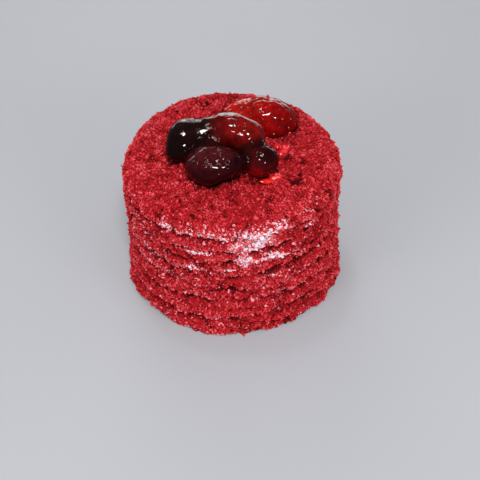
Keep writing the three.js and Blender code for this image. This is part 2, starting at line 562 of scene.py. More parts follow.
@dataclass(frozen=True)
class CoreFinish:
    """Packed fine crumbs with cream between them, with painted shade where the joints between
    layers are deep, in hollows and at the foot, and darker where juice has soaked in.
    """

    crumb: Colour
    pale_crumb: Colour
    # The colour of the painted shade, and of crumbs wet with juice.
    dark: Colour
    cream: Colour
    cream_shade: Colour
    crumb_grain: float = 0.9
    cream_grain: float = 1.6
    fleck_grain: float = 1.1
    lump_grain: float = 0.8
    lumps: float = 0.35
    pore_grain: float = 0.25
    pores: float = 0.1
    roughness: float = 0.7
    shine: float = 0.04

    def material(self) -> Material:
        """Makes the material.

        Returns:
            The new material.
        """
        bench = NodeBench("coat_core")
        crumb_tones = (0.35, self.crumb), (0.65, self.pale_crumb)
        cream_tones = (0.35, self.cream_shade), (0.6, self.cream)
        crumb = bench.ramp(bench.noise(self.crumb_grain, 3), *crumb_tones)
        cream = bench.ramp(bench.noise(self.cream_grain), *cream_tones)
        flecks = bench.joined(bench.stored("cream"), bench.noise(self.fleck_grain), "ADD")
        coated = bench.blend(bench.ramp(flecks, (0.86, NOTHING), (0.98, ALL)), crumb, cream)
        lumps = bench.bump(bench.noise(self.lump_grain), self.lumps)
        # The stored shade lays painted shade, and juice where the crumbs are wet, over crumbs and
        # cream.
        return bench.finish(
            base_color=bench.blend(bench.stored("shade"), coated, self.dark),
            normal=bench.bump(bench.noise(self.pore_grain), self.pores, lumps),
            roughness=self.roughness,
            specular_ior_level=self.shine,
        )


@dataclass(frozen=True)
class CreamFinish:
    """Whipped cream that shows between crumbs, tinted where it lies thin."""

    cream: Colour
    shade: Colour
    thin: Colour
    grain: float = 1.1
    thin_grain: float = 0.9
    pore_grain: float = 0.5
    pores: float = 0.15
    roughness: float = 0.45

    def material(self) -> Material:
        """Makes the material.

        Returns:
            The new material.
        """
        bench = NodeBench("cream")
        thick = bench.ramp(bench.noise(self.grain), (0.32, self.shade), (0.55, self.cream))
        thin = bench.ramp(bench.noise(self.thin_grain), (0.35, self.thin), (0.7, self.shade))
        return bench.finish(
            base_color=bench.blend(bench.stored("thick"), thin, thick),
            normal=bench.bump(bench.noise(self.pore_grain), self.pores),
            roughness=self.roughness,
        )


@dataclass(frozen=True)
class BerryFinish:
    """The skin of a berry, or the glaze between berries, under clear fruit glaze.

    The grains are widths and the ripple, specks and pores are depths. The glow is the share of
    light that goes in and comes out again.
    """

    name: str
    grain: float = 5
    ripple: float = 0.1
    specks: float = 0.3
    pores: float = 0.1
    glow: float = 0.0
    ripple_grain: float = 3.2
    pore_grain: float = 0.9
    speck_grain: float = 0.8
    patch_grain: float = 4.5
    roughness: float = 0.35
    gloss: float = 0.03
    glaze_ior: float = 1.33
    glow_colour: Colour = (1, 0.15, 0.1)
    glow_reach: float = 2.5

    def material(self) -> Material:
        """Makes the material, which takes its hue, with painted light and shade, from the mesh.

        Returns:
            The new material.
        """
        bench = NodeBench(self.name)
        shades = (0.3, (0.45, 0.4, 0.4)), (0.7, (1.6, 1.5, 1.5))
        cloud = bench.ramp(bench.noise(self.grain, 3, 0.6), *shades)
        ripple = bench.bump(bench.noise(self.ripple_grain, 1), self.ripple)
        patches = bench.ramp(bench.noise(self.patch_grain, 1), (0.53, NOTHING), (0.64, ALL))
        specks = bench.joined(bench.noise(self.speck_grain, 1), patches, "MULTIPLY")
        return bench.finish(
            base_color=bench.blend(1, bench.stored("hue_and_painted_light", "Color"), cloud, "MULTIPLY"),
            normal=bench.bump(bench.noise(self.pore_grain, 2, 0.6), self.pores, ripple),
            roughness=self.roughness,
            specular_ior_level=0,
            coat_weight=1,
            coat_normal=bench.bump(specks, self.specks, ripple),
            coat_roughness=self.gloss,
            coat_ior=self.glaze_ior,
            subsurface_weight=self.glow,
            subsurface_radius=self.glow_colour,
            subsurface_scale=self.glow_reach * MM,
        )


@dataclass(frozen=True)
class SeedFinish:
    """The small seeds of a strawberry, some pale and some dark."""

    pale: Colour
    deep: Colour
    grain: float = 2.5
    roughness: float = 0.25

    def material(self) -> Material:
        """Makes the material.

        Returns:
            The new material.
        """
        bench = NodeBench("strawberry_seed")
        tone = bench.ramp(bench.noise(self.grain, 1), (0.5, self.deep), (0.64, self.pale))
        return bench.finish(base_color=tone, roughness=self.roughness, coat_weight=1)


@dataclass(frozen=True)
class GlazeFinish:
    """Fruit glaze that has set to a clear jelly."""

    name: str
    deep: Colour
    lit: Colour
    ripple: float
    grain: float = 2.4
    ripple_grain: float = 1.7
    roughness: float = 0.04
    gloss: float = 0.02

    def material(self) -> Material:
        """Makes the material.

        Returns:
            The new material.
        """
        bench = NodeBench(self.name)
        return bench.finish(
            base_color=bench.ramp(bench.noise(self.grain), (0.35, self.deep), (0.65, self.lit)),
            normal=bench.bump(bench.noise(self.ripple_grain), self.ripple),
            roughness=self.roughness,
            coat_weight=1,
            coat_roughness=self.gloss,
        )


@dataclass(frozen=True)
class FloorFinish:
    """A plain pale table."""

    colour: Colour
    deepest: float = 0.97
    grain: float = 160
    roughness: float = 0.5
    shine: float = 0.3

    def material(self) -> Material:
        """Makes the material.

        Returns:
            The new material.
        """
        bench = NodeBench("floor")
        darker = tuple(part * self.deepest for part in self.colour)
        return bench.finish(
            base_color=bench.ramp(bench.noise(self.grain, 1), (0.3, darker), (0.7, self.colour)),
            roughness=self.roughness,
            specular_ior_level=self.shine,
        )


def dress(piece: Piece, material: Material) -> Piece:
    """Gives a piece its material, and lets it ride on the cake.

    Args:
        piece: The piece.
        material: Its material.

    Returns:
        The same piece.
    """
    piece.data.materials.append(material)
    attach(piece, "root")
    faces = sum(len(face.vertices) - 2 for face in piece.data.polygons)
    LOG.info("%s: %d triangles", piece.name, faces)
    return piece


# ---- Berries ----


class Skin(Enum):
    """What covers a berry."""

    SEEDS = "seeds"
    DRUPELETS = "drupelets"


def outside(local: Array, sizes: Array) -> Array:
    """About how far places lie outside an ellipsoid.

    Args:
        local: Ways from its middle, along its own directions.
        sizes: Its half-sizes, once or for each place.

    Returns:
        Millimetres, negative inside.
    """
    share = np.linalg.norm(local / sizes, axis=1)
    slope = np.maximum(np.linalg.norm(local / sizes**2, axis=1), TINY)
    return share * (share - 1) / slope


@dataclass(frozen=True)
class PaintedLightHue:
    """The colours of a berry with painted light and shade, from its shaded side to the side where
    light comes through it.
    """

    dark: Colour
    usual: Colour
    lit: Colour
    lit_side: Place
    stops: tuple[float, float, float] = (-0.5, 0.3, 0.95)

    def at(self, ways: Array) -> Array:
        """The colour on the side that each way from the berry's middle looks to."""
        share, parts = ways @ unit(self.lit_side), np.array([self.dark, self.usual, self.lit]).T
        return np.stack([np.interp(share, self.stops, part) for part in parts], 1)


@dataclass(frozen=True)
class Lobe:
    """A place where a berry bulges by some millimetres, or is dented where the rise is negative.

    The width is an angle in radians, as seen from the berry's middle.
    """

    way: Place
    rise: float
    width: float = 0.5


BERRY_SWELL = Grain(0.035, 0.62, 61)
BERRY_BUMPS = Grain(0.012, 0.3, 64)
FLAT_RIPPLE = Grain(0.16, 3.2, 63)


@dataclass(frozen=True)
class Berry:
    """One berry: its middle, its half-sizes along its length, width and height, and how it lies.

    Its parts are its seeds or drupelets, and their depth is a share of its size. Its glaze lies
    flat on the flat way, by the flat share, from the flat depth below the crest, and as far out
    as the flat reach.
    """

    node: str
    middle: Place
    half: Place
    turn: float
    tilt: float
    skin: Skin
    parts: int
    depth: float
    hue: PaintedLightHue
    finish: BerryFinish
    slot: Slot
    lobes: tuple[Lobe, ...] = ()
    flat_way: Place = (0, 0.45, 0.89)
    flat_depth: float = 0.9
    flat_share: float = 0.95
    flat_reach: float = 0.6

    def axes(self) -> Array:
        """The berry's own directions.

        Returns:
            Three unit vectors, one a column.
        """
        turn, tilt = math.radians(self.turn), math.radians(self.tilt)
        flat, rise = math.cos(tilt), math.sin(tilt)
        ahead, aside = math.cos(turn), math.sin(turn)
        tilted = np.array([[flat, 0, -rise], [0, 1, 0], [rise, 0, flat]])
        turned = np.array([[ahead, -aside, 0], [aside, ahead, 0], [0, 0, 1]])
        return turned @ tilted

    def sizes_at(self, along: Array) -> Array:
        """The berry's half-sizes along its length, as a strawberry narrows to its tip.

        Args:
            along: Places from -1 at one end to 1 at the other.

        Returns:
            Three half-sizes for each.
        """
        girth = np.ones_like(along)
        if self.skin is Skin.SEEDS:
            along = np.clip(along, -1, 1)
            girth = 0.86 + 0.2 * along - 0.08 * along * along
        length, width, height = self.half
        return np.stack([np.full(len(along), length), width * girth, height * girth], 1)

    def swell(self, away: Array) -> Array:
        """How uneven the berry is.

        Args:
            away: Ways out from its middle, in the cake's frame.

        Returns:
            The share of its plain size that it reaches that way.
        """
        ways = units(away)
        own = ways + len(self.node)
        share = 1 + BERRY_SWELL.at(own) + BERRY_BUMPS.at(own)
        for lobe in self.lobes:
            turned = np.arccos(np.clip(ways @ unit(lobe.way), -1, 1))
            share = share + lobe.rise / self.half[1] * bell(turned, 0, lobe.width)
        return share

    def place(self, ways: Array, reach: Array | float = 1.0) -> Array:
        """Puts points of a unit sphere where they lie on the berry.

        Args:
            ways: Directions, one a row.
            reach: The share of the berry's size.

        Returns:
            Places in the cake's frame.
        """
        sizes = self.sizes_at(ways[:, 0]) * np.reshape(reach, (-1, 1))
        away = (ways * sizes) @ self.axes().T
        return away * self.swell(away)[:, None] + np.array(self.middle)

    def seen_from(self, points: Array) -> tuple[Array, Array, Array]:
        """How places lie, as seen from the berry's middle.

        Args:
            points: Places in the cake's frame.

        Returns:
            Their ways out in the cake's frame and in the berry's own, and its half-sizes there.
        """
        away = points - np.array(self.middle)
        local = away @ self.axes()
        return away, local, self.sizes_at(local[:, 0] / self.half[0]) * self.swell(away)[:, None]

    def depth_at(self, points: Array) -> Array:
        """About how far points lie outside the skin, in millimetres, negative inside."""
        _, local, sizes = self.seen_from(points)
        return outside(local, sizes)

    def flattened(self, points: Array) -> Array:
        """Lets the glaze lie flat over the berry's back, where it slopes away.

        Args:
            points: Places on the berry or in the glaze.

        Returns:
            The moved places.
        """
        way = unit(self.flat_way)
        crest = np.linalg.norm((self.axes().T @ way) * np.array(self.half))
        over = (points - np.array(self.middle)) @ way - (crest - self.flat_depth)
        over = over + FLAT_RIPPLE.at(points)
        moved = points - np.maximum(over, 0)[:, None] * self.flat_share * way
        return np.where((self.depth_at(points) < self.flat_reach)[:, None], moved, points)

    def push_out(self, points: Array, room: float) -> Array:
        """Moves points that lie in the berry out to its skin.

        Args:
            points: Places in the cake's frame.
            room: How far from the skin they are kept.

        Returns:
            The moved places.
        """
        away, local, sizes = self.seen_from(points)
        share = np.linalg.norm(local / (sizes + room), axis=1)[:, None]
        return np.where(share < 1, np.array(self.middle) + away / np.maximum(share, 1e-3), points)


# Each berry's colours, with painted shade on one side and painted light where light comes through,
# and the lit side.
STRAWBERRY_HUE = PaintedLightHue(*tones((92, 3, 4), (128, 7, 7), (156, 20, 12)), (-0.8, -0.1, 0.6))
DARK_HUE = PaintedLightHue(*tones((8, 3, 3), (14, 4, 4), (26, 8, 7)), (0.3, 0.2, 0.9))
FRONT_HUE = PaintedLightHue(*tones((18, 2, 3), (36, 3, 6), (64, 15, 18)), (-0.3, 0.15, 0.9))
SMALL_HUE = PaintedLightHue(*tones((36, 3, 4), (50, 4, 5), (108, 6, 9)), (-0.5, -0.6, -0.62))
MIDDLE_HUE = PaintedLightHue(*tones((62, 8, 6), (86, 8, 7), (100, 11, 9)), (0.6, -0.3, 0.6))

BERRIES = (
    Berry(
        "strawberry_half", (11.3, 22.4, 67.2), (18, 13, 14), -21, 0, Skin.SEEDS, 130, 0.025,
        STRAWBERRY_HUE, BerryFinish("strawberry_flesh", 5, 0.2, 0.4, 0.12, 0.3), Slot.STRAWBERRY,
        lobes=(
            Lobe((-0.75, 0.2, 0.65), -1.3),
            Lobe((0.4, -0.5, 0.75), 0.5, 0.6),
            Lobe((-0.04, -0.62, 0.78), 0.6, 0.2),
        ),
    ),
    Berry(
        "dark_berry", (-20, 0.6, 73.6), (13, 9.6, 9), 38, 3, Skin.DRUPELETS, 84, 0.02,
        DARK_HUE, BerryFinish("dark_berry_skin"), Slot.DARK_BERRY,
        lobes=(
            Lobe((-0.9, -0.3, 0.1), -1.3),
            Lobe((-0.2, -0.9, -0.05), 1.1, 0.55),
            Lobe((-0.18, -0.7, 0.7), -0.45, 0.2),
            Lobe((-0.22, -0.35, 0.9), 0.4, 0.24),
            Lobe((-0.5, 0.55, 0.65), 0.6, 0.35),
        ),
    ),
    Berry(
        "raspberry_front", (-8.2, -17.2, 73.6), (13.4, 10.6, 8.8), -8, 0, Skin.DRUPELETS, 60, 0.07,
        FRONT_HUE, BerryFinish("raspberry_front_skin", 3, 0.1, 0.6), Slot.RASPBERRY,
        lobes=(
            Lobe((0.7, -0.6, -0.4), -2.5),
            Lobe((-0.1, 0.7, 0.7), -1.0, 0.55),
            Lobe((-0.7, -0.4, 0.55), 0.8, 0.4),
            Lobe((0.8, -0.2, 0.55), 0.8, 0.3),
            Lobe((0.58, -0.72, 0.38), 1.1, 0.34),
            Lobe((-0.5, -0.62, 0.6), 0.5, 0.3),
            Lobe((0.45, 0.0, 0.9), 0.5, 0.22),
            Lobe((0.556, -0.563, 0.62), 1.0, 0.18),
            Lobe((-0.36, -0.43, 0.83), 1.2, 0.2),
            Lobe((0.04, -0.5, 0.86), -0.7, 0.22),
            Lobe((0.32, -0.82, -0.45), -2.0, 0.45),
        ),
        flat_way=(-0.55, 0.17, 0.82), flat_depth=1.0, flat_share=0.7,
    ),
    Berry(
        "raspberry_small", (12, -12.4, 72.6), (8.2, 7.6, 7.6), 30, 8, Skin.DRUPELETS, 54, 0.04,
        SMALL_HUE, BerryFinish("raspberry_small_skin", 4), Slot.RASPBERRY,
        lobes=(Lobe((0.6, 0.5, 0.6), -0.7, 0.45), Lobe((-0.5, -0.6, 0.4), 0.4, 0.4)),
    ),
    Berry(
        "raspberry_middle", (1.2, 2.1, 77.3), (12.6, 8.8, 8.6), -14, -6, Skin.DRUPELETS, 80, 0.018,
        MIDDLE_HUE, BerryFinish("raspberry_middle_skin", 3, specks=0.2, glow=0.15), Slot.RASPBERRY,
        lobes=(
            Lobe((0.45, 0.6, 0.6), -1.9, 0.55),
            Lobe((0.65, -0.7, -0.2), 2.3, 0.5),
            Lobe((-0.05, -0.6, 0.8), -0.9, 0.35),
            Lobe((-0.6, 0.1, 0.75), 0.4, 0.35),
        ),
        flat_way=(0, 0.36, 0.93), flat_depth=1.15, flat_share=0.75,
    ),
)

# How far a berry's hue goes beyond its skin and how wide a gap gets painted shade, the heights
# # between which a gap's painted shade grows and between which the berries' feet get painted
# # shade, and how dark both are.
HUE_REACH = 1.2
GAP_REACH = 3
GAP_TOP = (82, 80.2)
FOOT_SHADE_HEIGHTS = (69.5, 67.2)
GAP_PAINTED_SHADE = 0.88


def berry_hue_and_painted_light(points: Array) -> Array:
    """The colour of berries and of the glaze between them.

    Args:
        points: Places on a berry or in the glaze.

    Returns:
        A colour for each place, which goes over from one berry's to the next, with each berry's
        painted light and shade, and painted shade, nearly black, in the gaps between them and at
        their feet.
    """
    depths = np.stack([berry.depth_at(points) for berry in BERRIES], 1)
    weights = np.exp(-(depths - depths.min(1, keepdims=True)) / HUE_REACH)
    total = np.zeros((len(points), 3))
    for number, berry in enumerate(BERRIES):
        total += weights[:, [number]] * berry.hue.at(units(points - np.array(berry.middle)))
    total /= weights.sum(1, keepdims=True)
    height = points[:, 2]
    second = np.sort(depths, axis=1)[:, 1]
    # Painted shade in the gaps between berries and at their feet.
    gap = bell(np.maximum(second, 0), 0, GAP_REACH) * (0.3 + 0.7 * smooth_step(*GAP_TOP, height))
    gap = np.maximum(gap, smooth_step(*FOOT_SHADE_HEIGHTS, height))
    return total * (1 - GAP_PAINTED_SHADE * gap)[:, None]


def nearest_berry(points: Array) -> Array:
    """How far each point lies outside the nearest berry, in millimetres."""
    return np.min([berry.depth_at(points) for berry in BERRIES], axis=0)


# ---- The cake's own surface ----


@dataclass(frozen=True)
class Smear:
    """A place on the side where much cream shows: its angle and height, how far it reaches each
    way, and how much of it is cream."""

    angle: float
    height: float
    wide: float
    tall: float
    strength: float

    def share(self, angle: Array, height: Array) -> Array:
        """The share of cream at each place.

        Args:
            angle: Angles round the cake, in radians.
            height: Heights.

        Returns:
            Shares from 0 to the smear's strength.
        """
        across = angle_between(angle, self.angle) / self.wide
        up = (height - self.height) / self.tall
        return self.strength * np.exp(-((across**2 + up**2) ** 1.5))


CREAM_SMEARS = (
    Smear(-89, 61, 42, 3.4, 0.16),
    Smear(-126, 60.5, 4, 2.2, 0.32),
    Smear(-104, 60.5, 13, 3.0, 0.15),
    Smear(-80, 60.5, 10, 3.4, 0.17),
    Smear(-64, 61.5, 5, 3.2, 0.3),
    Smear(-38, 63.5, 14, 1.6, 0.22),
    Smear(-87, 53.5, 7, 4, 0.5),
    Smear(-74, 55.0, 8, 4.6, 0.46),
    Smear(-84, 45.5, 6, 4.2, 0.54),
    Smear(-69, 44.5, 8, 3.4, 0.44),
    Smear(-108, 49.5, 10, 1.1, 0.42),
    Smear(-113, 39, 10, 1.1, 0.42),
    Smear(-93, 40, 6, 1.1, 0.4),
    Smear(-68, 33, 8, 1.2, 0.36),
    Smear(-46, 54, 5, 1.6, 0.4),
    Smear(-137, 33, 12, 6, 0.14),
    Smear(-150, 45, 13, 15, 0.13),
)


@dataclass(frozen=True)
class WideGap:
    """A stretch of joint that gapes: its layer, its angle, how far it reaches and how much."""

    layer: int
    angle: float
    reach: float
    more: float


WIDE_GAPS = (
    WideGap(3, -88, 24, 0.4),
    WideGap(2, -114, 10, 0.4),
    WideGap(2, -50, 9, 0.4),
    WideGap(1, -46, 12, 0.4),
    WideGap(5, -112, 10, 0.4),
    WideGap(4, -128, 8, 0.4),
    WideGap(5, -40, 14, 0.3),
)

# How the outline swells, the joints rise and fall, the layers slip, and the joints open and close.
OUTLINE_WAVES = (Wave(0.3, 2, 0.6), Wave(0.28, 3, 2.1), Wave(0.2, 5, 4))
JOINT_WAVES = (Wave(0.75, 2, 2.4), Wave(0.5, 5, 1.7))
LAYER_WAVES = (Wave(0.4, 1, 2.9), Wave(0.35, 3, 1.3))
OPEN_WAVE = Wave(0.4, 4, 2.2)
# How far a layer stands out at some shares of its height.
LAYER_BULGE = ((0, 0.14, 0.45, 0.85, 1), (0.2, 0.6, 0.1, -0.5, -0.8))

# The unevenness of the coat, of the joints and of the cream.
WIDE_LUMPS = Grain(0.75, 6.5, 1)
FINE_LUMPS = (Grain(0.62, 2.7, 2), Grain(0.36, 1.4, 3))
FLAKES = Grain(0.95, 1.9, 4, (0.34, 0.34, 1.0))
PITS = Grain(1, 1.7, 5, (0.55, 0.55, 1.1))
JOINT_BREAKS = Grain(0.65, 5, 40)
JOINT_WOBBLE = Grain(0.9, 2.6, 41)
CREAM_PATCHES = Grain(0.6, 11, 21)
FLECKS = (Grain(0.85, 0.9, 22, (0.7, 0.7, 1.15)), Grain(0.3, 2.9, 23, (0.7, 0.7, 1.15)))

# The angle of the front, the heights between which open joints and cream fade out towards the
# top, the slopes between which the layers do, and the edge of a pit in its noise. Then the shares
# of smeared cream between which it hides what lies below, fills the joints, and counts as thick.
FRONT = -90
SIDE_END = (64, 60)
CREAM_END = (65.5, 63.5)
EDGE_FADE = (0.15, 0.75)
PIT_EDGE = (0.18, 0.6)
CREAMED = (0.15, 0.4)
FILLED = (0.1, 0.36)
THICK = (0.1, 0.4)


@dataclass(frozen=True)
class CakeShape:
    """The layered body: its sizes, and how they make a surface.

    A point of the surface is given by its angle round the cake and by its way, which is how far
    along the outline it lies, from the foot up the side and in over the top. A joint's depth, its
    reach above and below, and how it widens go with how open it is. The noise that breaks joints
    up is read on rings of the noise radius, one for each layer.
    """

    top_radius: float = 49.1
    waist_radius: float = 48.6
    foot_radius: float = 50.6
    height: float = 67.2
    dome_rise: float = 1.0
    edge_round: float = 8.0
    lean: float = 1.6
    layer_tops: tuple[float, ...] = (10.5, 19.5, 28, 36, 43.5, 51, 57.5)
    joint_depth: float = 2.4
    joint_above: float = 0.8
    joint_below: float = 1.7
    joint_widening: float = 0.6
    joint_filled: float = 0.85
    foot_open: float = 0.3
    usual_open: float = 0.6
    most_open: float = 1.25
    noise_radius: float = 50
    noise_rise: float = 9.0
    seat: float = 66.0
    foot_spread: float = 0.7
    pit_depth: float = 0.9
    sunk: float = 0.45
    most_cream: float = 0.5
    lip_cream: float = 0.36

    @property
    def side_length(self) -> float:
        """How far up the side the rounded edge starts."""
        return self.height - self.edge_round

    @property
    def edge_length(self) -> float:
        """The way over the rounded edge."""
        return self.edge_round * math.pi / 2

    @property
    def whole_length(self) -> float:
        """The way from the foot, up the side and in to the middle of the top."""
        return self.side_length + self.edge_length + self.top_radius - self.edge_round

    def joint_height(self, angle: Array, layer: int) -> Array:
        """The height of the joint below a layer, at an angle."""
        if layer == 0:
            return np.zeros_like(angle)
        return self.layer_tops[layer - 1] + sum(wave.at(angle, layer) for wave in JOINT_WAVES)

    def joint_strength(self, angle: Array, layer: int) -> Array:
        """How open a joint is at an angle, from about 0.2 to 1."""
        if layer == 0:
            return np.full_like(angle, self.foot_open)
        return self.usual_open + OPEN_WAVE.at(angle, layer) * np.cos(angle + layer)

    @staticmethod
    def wide_gap(angle: Array, layer: int) -> Array:
        """How much wider than usual a joint gapes at an angle."""
        gaps = [gap for gap in WIDE_GAPS if gap.layer == layer]
        return sum(gap.more * bell(angle_between(angle, gap.angle), 0, gap.reach) for gap in gaps)

    def profile(self, way: Array) -> tuple[Array, Array, Array]:
        """The plain outline of the cake.

        Args:
            way: How far along the outline each point lies.

        Returns:
            The radius, the height, and the slope in radians, which is 0 on the side and a
            quarter turn on the top.
        """
        share = np.clip(way, 0, self.side_length) / self.height
        side = np.where(
            share < 0.5,
            self.foot_radius + (self.waist_radius - self.foot_radius) * np.sin(share * math.pi),
            self.waist_radius + (self.top_radius - self.waist_radius) * (share * 2 - 1),
        )
        slope = np.clip((way - self.side_length) / self.edge_round, 0, math.pi / 2)
        inward = np.maximum(way - self.side_length - self.edge_length, 0)
        radius = side - self.edge_round * (1 - np.cos(slope)) - inward
        flat = self.top_radius - self.edge_round
        dome = self.dome_rise * (1 - (np.maximum(radius, 0) / flat) ** 2)
        rise = np.where(inward > 0, dome, 0)
        height = np.minimum(way, self.side_length) + self.edge_round * np.sin(slope) + rise
        return np.maximum(radius, 0), height, slope

    def layers(self, angle: Array, height: Array, lows: Sequence[Array]) -> Array:
        """How far the layers stand out, each with its own bulge.

        Args:
            angle: Angles round the cake.
            height: Heights on its side.
            lows: The heights of the joints below the layers at these angles.

        Returns:
            Millimetres for each point.
        """
        out = np.zeros_like(height)
        highs = [*lows[1:], np.full_like(height, self.height)]
        for layer, (low, high) in enumerate(zip(lows, highs)):
            within = (height >= low) & (height < high)
            share = (height - low) / (high - low)
            own = sum(wave.at(angle, layer) for wave in LAYER_WAVES)
            foot = self.foot_spread * (1 - share) if layer == 0 else 0
            out += within * (own + np.interp(share, *LAYER_BULGE) + foot)
        return out

    def joints(self, angle: Array, height: Array) -> tuple[Array, Array]:
        """What the layers and the joints between them do to the side.

        Args:
            angle: Angles round the cake.
            height: Heights on its side.

        Returns:
            How far each point stands out, and how deep in an open joint it lies, from 0 to 1.
        """
        lows = [self.joint_height(angle, layer) for layer in range(len(self.layer_tops) + 1)]
        out = self.layers(angle, height, lows)
        open_joint = np.zeros_like(height)
        filled = 1 - self.joint_filled * smooth_step(*FILLED, self.smeared(angle, height))
        ring = np.cos(angle) * self.noise_radius, np.sin(angle) * self.noise_radius
        for layer, low in enumerate(lows):
            along = np.stack([*ring, np.full_like(angle, self.noise_rise * layer)], 1)
            gap = height - low - (JOINT_WOBBLE.at(along) if layer else 0)
            usual = self.joint_strength(angle, layer) + JOINT_BREAKS.at(along)
            strength = np.clip(usual + self.wide_gap(angle, layer), 0, self.most_open) * filled
            gap = gap / (1 + self.joint_widening * np.clip(strength - self.usual_open, 0, 1))
            above, below = bell(gap, 0, self.joint_above), bell(gap, 0, self.joint_below)
            dip = np.where(gap > 0, above, below) * strength
            out -= self.joint_depth * dip
            open_joint = np.maximum(open_joint, dip)
        return out, open_joint

    def relief(self, angle: Array, way: Array) -> tuple[Array, Array]:
        """The unevenness of the crumb coat.

        Args:
            angle: Angles round the cake.
            way: How far along the outline each point lies.

        Returns:
            How far each point stands out, and how high it is among its near neighbours, from
            about -1 in a hollow to 1 on a lump.
        """
        radius, height, slope = self.profile(way)
        smooth = np.stack([radius * np.cos(angle), radius * np.sin(angle), height], 1)
        layered, open_joint = self.joints(angle, height)
        fade = 1 - smooth_step(*EDGE_FADE, slope)
        fine = sum(lumps.at(smooth) for lumps in FINE_LUMPS)
        flakes = FLAKES.at(smooth)
        pits = smooth_step(*PIT_EDGE, PITS.at(smooth))
        pits *= (0.55 + 0.6 * smooth_step(0.02, 0.3, open_joint)) * fade + 0.35 * (1 - fade)
        lumps = (WIDE_LUMPS.at(smooth) + fine) * (0.6 + 0.4 * fade)
        out = (layered + flakes) * fade + lumps - self.pit_depth * pits - self.sunk
        rise = fine + (0.7 * flakes - 1.2 * open_joint) * fade - self.pit_depth * pits
        return out, np.clip(rise, -1, 1)

    def surface(self, angle: Array, way: Array) -> Array:
        """Places on the uneven surface.

        Args:
            angle: Angles round the cake.
            way: How far along the outline each point lies.

        Returns:
            Places, one a row.
        """
        radius, height, slope = self.profile(way)
        out, _ = self.relief(angle, way)
        swell = sum(wave.at(angle) for wave in OUTLINE_WAVES)
        wide = radius + swell * np.minimum(radius / self.edge_round, 1) + out * np.cos(slope)
        tall = np.maximum(height + out * np.sin(slope), 0)
        x, y = wide * np.cos(angle) - self.lean * tall / self.height, wide * np.sin(angle)
        return np.stack([x, y, tall], 1)

    def normals(self, angle: Array, way: Array) -> Array:
        """The directions in which the uneven surface faces.

        Args:
            angle: Angles round the cake.
            way: How far along the outline each point lies.

        Returns:
            Unit vectors, one a row.
        """
        near = 0.4
        turn = near / np.maximum(self.profile(way)[0], near)
        along = self.surface(angle, way + near) - self.surface(angle, way - near)
        across = self.surface(angle + turn, way) - self.surface(angle - turn, way)
        return units(np.cross(across, along))

    @staticmethod
    def smeared(angle: Array, height: Array) -> Array:
        """How much of the side at each place is smeared with cream."""
        return sum(smear.share(angle, height) for smear in CREAM_SMEARS)

    def cream_share(self, points: Array, angle: Array, height: Array) -> Array:
        """How much cream shows between the crumbs, more of it in front than behind.

        Args:
            points: Places on the surface.
            angle: Their angles round the cake.
            height: Their heights.

        Returns:
            A share from 0 to the most cream for each place.
        """
        turned = np.abs(angle_between(angle, FRONT))
        lips = np.zeros_like(height)
        for layer in range(1, len(self.layer_tops) + 1):
            lips += bell(height - self.joint_height(angle, layer), 1.4, 0.8) * self.lip_cream
        around = 0.22 + 0.78 * smooth_step(70, 34, turned)
        around = around * (0.65 + 0.35 * smooth_step(16, 34, height))
        usual = 0.04 + 0.035 * smooth_step(50, 34, height)
        scattered = (usual + lips * (0.5 + CREAM_PATCHES.at(points))) * around
        share = self.smeared(angle, height) + scattered
        return np.clip(share, 0, self.most_cream) * smooth_step(*CREAM_END, height)

    @staticmethod
    def flecked(points: Array, share: Array) -> Array:
        """Which places lie in a fleck, given the share of cream round each."""
        flecks = sum(fleck.at(points) for fleck in FLECKS)
        return (share > 0.04) & (0.5 + flecks * 0.95 < share)


@dataclass(frozen=True)
class WetSpot:
    """A spot on the top where a drop of juice has soaked in: where it is and how far it goes."""

    x: float
    y: float
    reach: float


WET_SPOTS = (
    WetSpot(27.5, -20.5, 3.6),
    WetSpot(24.5, -5.5, 2.6),
    WetSpot(29.5, -16.5, 2.0),
    WetSpot(8.5, -21.5, 1.8),
    WetSpot(-14, 35, 2.4),
    WetSpot(-28, -9, 1.6),
)
WET_EDGE = Grain(0.9, 1.8, 33)
# How far from a berry the crumbs are wet, and above which height.
WET_REACH = (3.0, 0.3)
LOWEST_WET = 60


def wetness(points: Array) -> Array:
    """How dark the crumbs are with juice that has run from the berries.

    Args:
        points: Places on the crumb coat.

    Returns:
        A share from 0 to 1.
    """
    ragged = WET_EDGE.at(points)
    x, y, height = points.T
    wet = smooth_step(*WET_REACH, nearest_berry(points) + ragged) * 0.65
    for spot in WET_SPOTS:
        away = np.hypot(x - spot.x, y - spot.y) + ragged
        soaked = smooth_step(spot.reach, spot.reach * 0.5, away) * 0.85
        wet = np.maximum(wet, soaked * (height > LOWEST_WET))
    return wet


# ---- Cake body ----


CORE_FINISH = CoreFinish(
    crumb=from_screen(120, 10, 15),
    pale_crumb=from_screen(168, 28, 36),
    # Painted shade in joints, hollows and at the foot, and crumbs wet with juice.
    dark=from_screen(58, 7, 7),
    cream=from_screen(222, 206, 212),
    cream_shade=from_screen(214, 136, 148),
)


